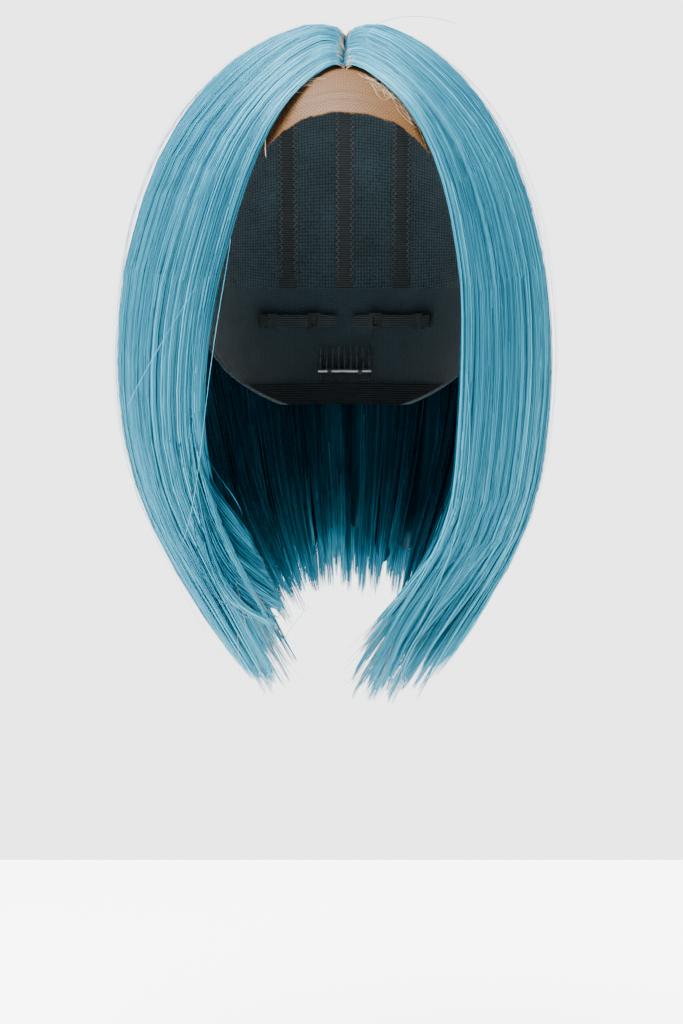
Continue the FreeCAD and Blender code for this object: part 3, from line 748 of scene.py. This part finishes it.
def undyed_material():
    """The same drawn fibre without the aqua dye: straw to cream, with a soft shine."""
    material, tree, shader = new_material("Undyed drawn fibre", Roughness=0.4, IOR=1.5)
    flow = add(tree, "ShaderNodeAttribute", attribute_name="flow")
    noise = add(tree, "ShaderNodeTexNoise", [("Vector", flow.outputs["Vector"])], Scale=1.7, Detail=1.0)
    colour = add(tree, "ShaderNodeValToRGB", [(0, noise.outputs["Fac"])], [
        (0.3, "#b08e6c"), (0.55, "#d8c3a2"), (0.8, "#efe4cc"),
    ])
    tree.links.new(colour.outputs["Color"], shader.inputs["Base Color"])
    return material


STRAW = undyed_material()
BABY_HAIRS_LEFT = 56
BABY_HAIRS_RIGHT = 22
KNOTS = 200
PALE_ENDS = 16


def on_head(x, y, lift):
    """A place on the front of the head above its widest level."""
    rise = np.sqrt(np.clip(1 - (x / HEAD[0]) ** 2 - (y / HEAD[1]) ** 2, 0, 1))
    flat = np.array([x, y, HEAD[2] * rise - HEAD[2]])
    out = np.array([x / HEAD[0] ** 2, y / HEAD[1] ** 2, rise / HEAD[2]])
    return flat + out / np.linalg.norm(out) * lift


def make_hairline():
    """Short undyed fibres along the parting and the hairline, where single knots show."""
    random = np.random.default_rng(9)
    baby_hairs = []
    for _ in range(BABY_HAIRS_LEFT):
        # swept back along the hairline
        at = random.uniform(0, 0.8)
        x = 5 + 30 * at + random.normal(0, 1.2)
        y = -60 - 11 * at + random.normal(0, 1.4)
        long = random.uniform(5, 11)
        bend = random.normal(0, 3)
        start = on_head(x, y, 1.0)
        middle = on_head(x + 0.35 * long, y - 0.45 * long + bend, random.uniform(1.5, 3))
        last = on_head(x + 0.85 * long, y - 0.25 * long - bend, 1.2)
        baby_hairs.append(smooth_path([start, middle, last], 12))
    for _ in range(BABY_HAIRS_RIGHT):
        x = -6 - 26 * random.uniform(0, 1)
        y = -59 + 0.30 * x + random.normal(0, 1.0)
        long = random.uniform(4, 8)
        start, last = on_head(x, y, 1.0), on_head(x - long, y + 0.3 * long, 1.6)
        baby_hairs.append(smooth_path([start, (start + last) / 2 + [0, -0.8, 0.6], last], 12))
    loose_piece("baby_hairs", baby_hairs, 0.11, material=STRAW)
    knots = []
    for _ in range(KNOTS):
        side = random.choice([-1, 1])
        y = random.uniform(-60, 20)
        long = random.uniform(1.5, 4.5)
        start = on_head(side * random.uniform(0.1, 1.0), y, 2.2)
        last = on_head(side * long, y + random.normal(0.5, 1.0), 3.2 + random.uniform(0.8, 3.0))
        knots.append(smooth_path([start, (start + last) / 2 + [0, 0, 0.9], last], 12))
    loose_piece("parting_knots", knots, 0.16, material=STRAW)


def front_place(share, height, hand):
    """Where the swept front of the hair is at a height, on the +X side."""
    return turn_in(hang(height[:, None], share[:, None], np.array([[0.1]]), hand), hand, np.ones(1))[0, 0]


def make_pale_ends():
    """A few fibres the dye missed reach past the front ends, each at its own angle."""
    random = np.random.default_rng(23)
    paths = []
    for hand, side in SIDES.items():
        for _ in range(PALE_ENDS):
            share = np.array([random.uniform(0.0, 0.16)])
            level = tip_level(share, hand)
            start = front_place(share, level + 34, hand) * [side, 1, 1]
            end = front_place(share, level + 3, hand) * [side, 1, 1]
            aim = end - start + [random.normal(0, 7), 0, random.uniform(-4, 4)]
            paths.append(smooth_path([start, start + aim * 0.5 + [0, -1.5, 0], start + aim], 16))
    loose_piece("pale_ends", paths, 0.2, material=STRAW)


make_flyaways()
make_inner_curls()
make_hairline()
make_pale_ends()

# --------------------------------------------------------------------------------------
# Lace front
# --------------------------------------------------------------------------------------

# the real cell is 0.8 mm wide, and it is drawn at 1.2 mm so that it shows
LACE_CELL = 1.2
LACE_THREAD = 0.13
# the three directions that its threads run in
LACE_RUNS = ((0.0, 1.0), (0.87, 0.5), (0.87, -0.5))


def lace_material():
    """Fine monofilament net, knitted: a see-through tan film of thread in small cells, with a
    faint nylon shine."""
    material, tree, shader = new_material(
        "Knitted monofilament lace", Roughness=0.5, IOR=1.53, Specular_IOR_Level=0.2,
    )
    place = add(tree, "ShaderNodeUVMap", uv_map="flat")
    split = add(tree, "ShaderNodeSeparateXYZ", [(0, place.outputs["UV"])])
    # the sheet's UV is in metres
    cell = LACE_CELL * MM
    lines = []
    for across, along in LACE_RUNS:
        step = add(tree, "ShaderNodeMath", [(0, split.outputs["X"])], operation="MULTIPLY", i1=across / cell)
        run = add(
            tree, "ShaderNodeMath", [(0, split.outputs["Y"]), (2, step.outputs[0])],
            operation="MULTIPLY_ADD", i1=along / cell,
        )
        wave = add(tree, "ShaderNodeMath", [(0, run.outputs[0])], operation="PINGPONG", i1=0.5)
        line = add(tree, "ShaderNodeMath", [(0, wave.outputs[0])], operation="LESS_THAN", i1=LACE_THREAD)
        lines.append(line.outputs[0])
    threads = lines[0]
    for line in lines[1:]:
        both = add(tree, "ShaderNodeMath", [(0, threads), (1, line)], operation="MAXIMUM")
        threads = both.outputs[0]
    blotch = add(tree, "ShaderNodeTexNoise", [("Vector", place.outputs["UV"])], Scale=60.0, Detail=2.0)
    film = add(tree, "ShaderNodeValToRGB", [(0, blotch.outputs["Fac"])], [
        (0.3, "#33200f"), (0.8, "#4a3019"),
    ])
    colour = add(
        tree, "ShaderNodeMix", [("Factor", threads), ("A", film.outputs["Color"])],
        data_type="RGBA", B=linear("#6e4c2a"),
    )
    tree.links.new(colour.outputs["Result"], shader.inputs["Base Color"])
    alpha = add(tree, "ShaderNodeMath", [(0, threads)], operation="MULTIPLY_ADD", i1=0.45, i2=0.5)
    tree.links.new(alpha.outputs[0], shader.inputs["Alpha"])
    bump = add(tree, "ShaderNodeBump", [("Height", threads)], Strength=0.4, Distance=0.0002)
    tree.links.new(bump.outputs[0], shader.inputs["Normal"])
    return material


def to_head(points, lift):
    """Moves points onto the cap's surface."""
    out = (points + [0, 0, HEAD[2]]) / HEAD
    scale = 1 / np.linalg.norm(out, axis=-1, keepdims=True)
    flat = (points + [0, 0, HEAD[2]]) * scale
    normal = flat / HEAD**2
    normal /= np.linalg.norm(normal, axis=-1, keepdims=True)
    return flat + normal * np.asarray(lift)[..., None] - [0, 0, HEAD[2]]


# The lace's raw front edge and the seam behind it, from the middle down to the tab before
# the ear, on the wearer's left.
RAW_EDGE = np.array([(0, -77, -37), (22, -75, -44), (34, -74, -54), (43, -72, -66),
                     (53, -66, -79), (60, -60, -89), (64.5, -53, -98)], float)
SEAM = np.array([(0, -29.5, -4.5), (22, -31, -9), (38, -34, -22), (50, -38, -40),
                 (58.5, -42.5, -60), (64, -47, -82), (65.9, -50, -99)], float)

LACE_COLUMNS = 241
LACE_ROWS = 50
LACE_THICK = 0.15
LACE_OFF_HEAD = 0.35
# two creases across the forehead: height, share of the way to the raw edge, width
CREASES = ((0.5, 0.80, 0.02), (0.6, 0.89, 0.022))
CREASE_ACROSS = 0.16
EDGE_BLUR = np.linspace(-0.35, 0.35, 7)


def along_edge(corners, at):
    """Places along a row of corners, mirrored for negative values, smoothed a little."""
    reach = np.abs(at) * (len(corners) - 1)
    total = 0
    for shift in EDGE_BLUR:
        moved = np.clip(np.abs(reach + shift), 0, len(corners) - 1)
        whole = np.minimum(moved.astype(int), len(corners) - 2)
        part = (moved - whole)[:, None]
        place = corners[whole] * (1 - part) + corners[whole + 1] * part
        sign = np.where(reach + shift < 0, -1, 1)
        total = total + place * np.stack([sign, 0 * sign + 1, 0 * sign + 1], axis=-1)
    return total / len(EDGE_BLUR) * np.stack([np.sign(at) + (at == 0), 0 * at + 1, 0 * at + 1], axis=-1)


def lace_points():
    """The lace as it lies on the head, row by row from its seam to its raw edge."""
    random = np.random.default_rng(5)
    at = np.linspace(-1, 1, LACE_COLUMNS)
    raw = along_edge(RAW_EDGE, at)
    # cut by hand: the edge steps from cell to cell
    nick = 0.6 * np.sin(at * 23 + 1) + 0.45 * np.sin(at * 61) + random.normal(0, 0.28, LACE_COLUMNS)
    raw[:, 2] -= nick * ease(1 - np.abs(at), 0, 0.1)
    seam = along_edge(SEAM, at)
    way = np.linspace(0, 1, LACE_ROWS)[:, None]
    flat = seam[None] * (1 - way[..., None]) + raw[None] * way[..., None]
    near = np.exp(-(at / CREASE_ACROSS) ** 2)[None, :]
    crease = sum(tall * np.exp(-((way - centre) / wide) ** 2) for tall, centre, wide in CREASES)
    # the raw edge lifts a little off the head
    curl = 0.5 * ease(way, 0.9, 1.0) * (0.4 + 0.6 * np.sin(at * 9)[None] ** 2)
    return to_head(flat, LACE_OFF_HEAD + crease * near + curl)


def set_flat_uv(piece, points):
    """Lays the sheet flat in its UV map, in metres, and gives its flat width."""
    across = np.linalg.norm(np.diff(points, axis=1), axis=-1) * MM
    along = np.linalg.norm(np.diff(points, axis=0), axis=-1) * MM
    down = np.concatenate([np.zeros((1, LACE_COLUMNS)), np.cumsum(along, axis=0)])
    side = np.concatenate([np.zeros((LACE_ROWS, 1)), np.cumsum(across, axis=1)], axis=1)
    flat = np.stack([side - side[:, LACE_COLUMNS // 2][:, None], down], axis=-1).reshape(-1, 2)
    layer = piece.data.uv_layers.new(name="flat")
    corner = np.empty(len(piece.data.loops), np.int32)
    piece.data.loops.foreach_get("vertex_index", corner)
    layer.data.foreach_set("uv", flat[corner].astype(np.float32).ravel())
    return across[LACE_ROWS // 2].sum()


def make_lace():
    points = lace_points()
    number = np.arange(LACE_ROWS * LACE_COLUMNS).reshape(LACE_ROWS, LACE_COLUMNS)
    faces = np.stack([number[:-1, :-1], number[1:, :-1], number[1:, 1:], number[:-1, 1:]], axis=-1)
    piece = add_mesh("lace_sheet", points, faces.reshape(-1, 4).tolist())
    wide = set_flat_uv(piece, points)
    solid = piece.modifiers.new("Thread", "SOLIDIFY")
    solid.thickness = LACE_THICK * MM
    solid.offset = 1
    bpy.context.view_layer.objects.active = piece
    piece.select_set(True)
    bpy.ops.object.modifier_apply(modifier="Thread")
    dress(piece, lace_material())
    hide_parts("lace_front")


def make_loose_thread():
    """One thread of the lace hangs loose at the wearer's right temple."""
    path = smooth_path([(-36, -76, -43), (-33.5, -79, -46), (-35, -78, -51), (-34, -80, -57)], 16)
    loose_piece("loose_thread", [path], 0.5, material=STRAW)


make_lace()
make_loose_thread()

# --------------------------------------------------------------------------------------
# The cap's own materials
# --------------------------------------------------------------------------------------

# the radii, in metres, that the cloth is measured on from front to back and ear to ear
NET_LONG = 0.095
NET_WIDE = 0.08


def over_head(tree, place):
    """Metres from ear to ear and from front to back, measured along the head, so that the
    rows of a cloth stretched over it stay even."""
    split = add(tree, "ShaderNodeSeparateXYZ", [(0, place)])
    rise = add(tree, "ShaderNodeMath", [(0, split.outputs["Z"])], operation="ADD", i1=NET_LONG)
    turn = add(
        tree, "ShaderNodeMath", [(0, rise.outputs[0]), (1, split.outputs["Y"])], operation="ARCTAN2",
    )
    back = add(tree, "ShaderNodeMath", [(0, turn.outputs[0])], operation="MULTIPLY", i1=NET_LONG)
    part = add(tree, "ShaderNodeMath", [(0, split.outputs["X"])], operation="MULTIPLY", i1=1 / NET_WIDE)
    swing = add(tree, "ShaderNodeMath", [(0, part.outputs[0])], operation="ARCSINE")
    aside = add(tree, "ShaderNodeMath", [(0, swing.outputs[0])], operation="MULTIPLY", i1=NET_WIDE)
    joined = add(tree, "ShaderNodeCombineXYZ", [("X", aside.outputs[0]), ("Y", back.outputs[0])])
    return joined.outputs[0]


def grainy_material(name, scale, detail, *stops, **settings):
    """A material whose colour follows a fine grain, and that grain."""
    material, tree, shader = new_material(name, **settings)
    place = add(tree, "ShaderNodeTexCoord")
    grain = add(
        tree, "ShaderNodeTexNoise", [("Vector", place.outputs["Object"])], Scale=scale, Detail=detail,
    )
    colour = add(tree, "ShaderNodeValToRGB", [(0, grain.outputs["Fac"])], stops)
    tree.links.new(colour.outputs["Color"], shader.inputs["Base Color"])
    return material, tree, shader, grain.outputs["Fac"]


def knit_material(name, dark, light, pitch, stretch=(1, 1, 1), depth=0.0003, even=False):
    """Knitted or woven cloth: rows of small raised cells at the given pitch in millimetres,
    dull, with soft light on the fuzz of its yarn."""
    material, tree, shader = new_material(name, Roughness=0.85, Sheen_Weight=0.25)
    place = add(tree, "ShaderNodeTexCoord").outputs["Object"]
    sizes = add(
        tree, "ShaderNodeVectorMath", [(0, over_head(tree, place) if even else place)],
        operation="MULTIPLY", i1=[1 / (pitch * MM) * share for share in stretch],
    )
    cells = add(
        tree, "ShaderNodeTexVoronoi", [("Vector", sizes.outputs[0])],
        Scale=1.0, Randomness=0.2 if even else 0.5,
    )
    patch = add(tree, "ShaderNodeTexNoise", [("Vector", place)], Scale=55.0, Detail=3.0)
    mixed = add(
        tree, "ShaderNodeMath", [(0, patch.outputs["Fac"]), (2, cells.outputs["Distance"])],
        operation="MULTIPLY_ADD", i1=0.35,
    )
    colour = add(tree, "ShaderNodeValToRGB", [(0, mixed.outputs[0])], [(0.25, light), (0.75, dark)])
    tree.links.new(colour.outputs["Color"], shader.inputs["Base Color"])
    bump = add(
        tree, "ShaderNodeBump", [("Height", cells.outputs["Distance"])],
        Strength=0.8, Distance=depth, invert=True,
    )
    tree.links.new(bump.outputs[0], shader.inputs["Normal"])
    return material


def elastic_material():
    """Woven elastic: fine ribs across its length, 1.1 mm apart, with rubber showing dully
    between them."""
    material, tree, shader = new_material("Woven elastic", Roughness=0.7)
    place = add(tree, "ShaderNodeTexCoord").outputs["Object"]
    # a wave of scale 314 has ribs one millimetre apart
    ribs = add(
        tree, "ShaderNodeTexWave", [("Vector", place)], bands_direction="Z",
        Scale=314 / 1.1, Distortion=0.6, Detail=1.0,
    )
    patch = add(tree, "ShaderNodeTexNoise", [("Vector", place)], Scale=400.0, Detail=2.0)
    mixed = add(
        tree, "ShaderNodeMath", [(0, patch.outputs["Fac"]), (2, ribs.outputs["Fac"])],
        operation="MULTIPLY_ADD", i1=0.5,
    )
    colour = add(tree, "ShaderNodeValToRGB", [(0, mixed.outputs[0])], [(0.3, "#0d1113"), (1.0, "#343d41")])
    tree.links.new(colour.outputs["Color"], shader.inputs["Base Color"])
    bump = add(tree, "ShaderNodeBump", [("Height", mixed.outputs[0])], Strength=0.6, Distance=0.0003)
    tree.links.new(bump.outputs[0], shader.inputs["Normal"])
    return material


def metal_material(name, dark, light, rough):
    """Cold-drawn steel or rolled aluminium: a fine grain left by the work, in lighter and
    duller spots about a millimetre across."""
    material, tree, shader, grain = grainy_material(
        name, 900.0, 3.0, (0.3, dark), (0.7, light), Metallic=1.0,
    )
    dull = add(tree, "ShaderNodeMapRange", [("Value", grain)], To_Min=rough - 0.08, To_Max=rough + 0.12)
    tree.links.new(dull.outputs[0], shader.inputs["Roughness"])
    return material


def nylon_material():
    """Injection-moulded nylon, slightly glossy with a fine moulded grain."""
    material, tree, shader, grain = grainy_material(
        "Moulded nylon", 1800.0, 2.0, (0.3, "#101416"), (0.7, "#1d2326"), IOR=1.53,
    )
    dull = add(tree, "ShaderNodeMapRange", [("Value", grain)], To_Min=0.25, To_Max=0.5)
    tree.links.new(dull.outputs[0], shader.inputs["Roughness"])
    bump = add(tree, "ShaderNodeBump", [("Height", grain)], Strength=0.2, Distance=0.0001)
    tree.links.new(bump.outputs[0], shader.inputs["Normal"])
    return material


def thread_material():
    """Spun polyester sewing thread: dull, slightly lighter than the cloth it holds."""
    return grainy_material(
        "Spun polyester thread", 900.0, 1.0, (0.3, "#4d5f66"), (0.7, "#7c8f95"), Roughness=0.75,
    )[0]


# a real net's cell is about 1 mm wide, and it is drawn at 1.7 mm so that it shows
STRETCH_NET = knit_material(
    "Knitted stretch net", "#14252b", "#425d66", 1.7, (1.15, 1, 1), depth=0.0005, even=True,
)
PANEL_CLOTH = knit_material("Brushed tricot", "#1d3138", "#385059", 0.9, even=True)
WEFT_TAPE = knit_material("Sewn weft edge", "#1c5264", "#3c8296", 1.2, (0.6, 0.6, 1.6))
BINDING = knit_material("Folded tricot binding", "#142024", "#2c3d43", 0.8)
ELASTIC = elastic_material()
STEEL = metal_material("Drawn spring steel", "#8b8d90", "#c2c4c7", 0.5)
ALUMINIUM = metal_material("Rolled aluminium strip", "#9b9da0", "#c4c6c8", 0.36)
NYLON = nylon_material()

FINISHES = {
    "crown_net": STRETCH_NET, "side_net": STRETCH_NET, "nape_panel": PANEL_CLOTH, "ear_tab": PANEL_CLOTH,
    "ear_binding": BINDING, "nape_band": ELASTIC, "ear_stay": ALUMINIUM, "centre_tape": ELASTIC,
    "side_tape": ELASTIC, "weft_track": WEFT_TAPE, "comb_cloth": BINDING, "comb": STEEL,
    "adjuster_strap": ELASTIC, "adjuster_hook": NYLON, "strap_casing": BINDING, "loop_tape": ELASTIC,
}

# the zigzag along the tapes: middles of the tapes, its two rows, its width and its turns
TAPE_MIDDLES = (-28, 0, 28)
STITCH_ROWS = (-3.5, 3.5)
STITCH_SWING = 0.8
STITCHES = 118
STITCH_FRONT = 105
STITCH_TURN = 0.97
STITCH_BELOW = 1.2


def make_stitches():
    """The zigzag stitching along both edges of every tape."""
    inner = HEAD - STITCH_BELOW
    steps = np.arange(STITCHES)
    turn = np.radians(STITCH_FRONT - steps * STITCH_TURN)
    paths = []
    for middle in TAPE_MIDDLES:
        for row in STITCH_ROWS:
            x = middle + row + STITCH_SWING * (-1.0) ** steps
            ring = np.sqrt(1 - (x / inner[0]) ** 2)
            y, z = inner[1] * ring * np.cos(turn), inner[2] * ring * np.sin(turn) - HEAD[2]
            paths.append(np.stack([x, y, z], axis=-1))
    loose_piece("tape_stitches", paths, 0.4, material=thread_material())


def finish_cap():
    """Gives every part of the cap its finish, by the start of its name."""
    for item in bpy.data.objects:
        if item.type != "MESH" or item.name.startswith(("hair", "lace")):
            continue
        for start, material in FINISHES.items():
            if item.name.startswith(start):
                for slot in item.material_slots:
                    slot.material = material
                break


make_stitches()
finish_cap()
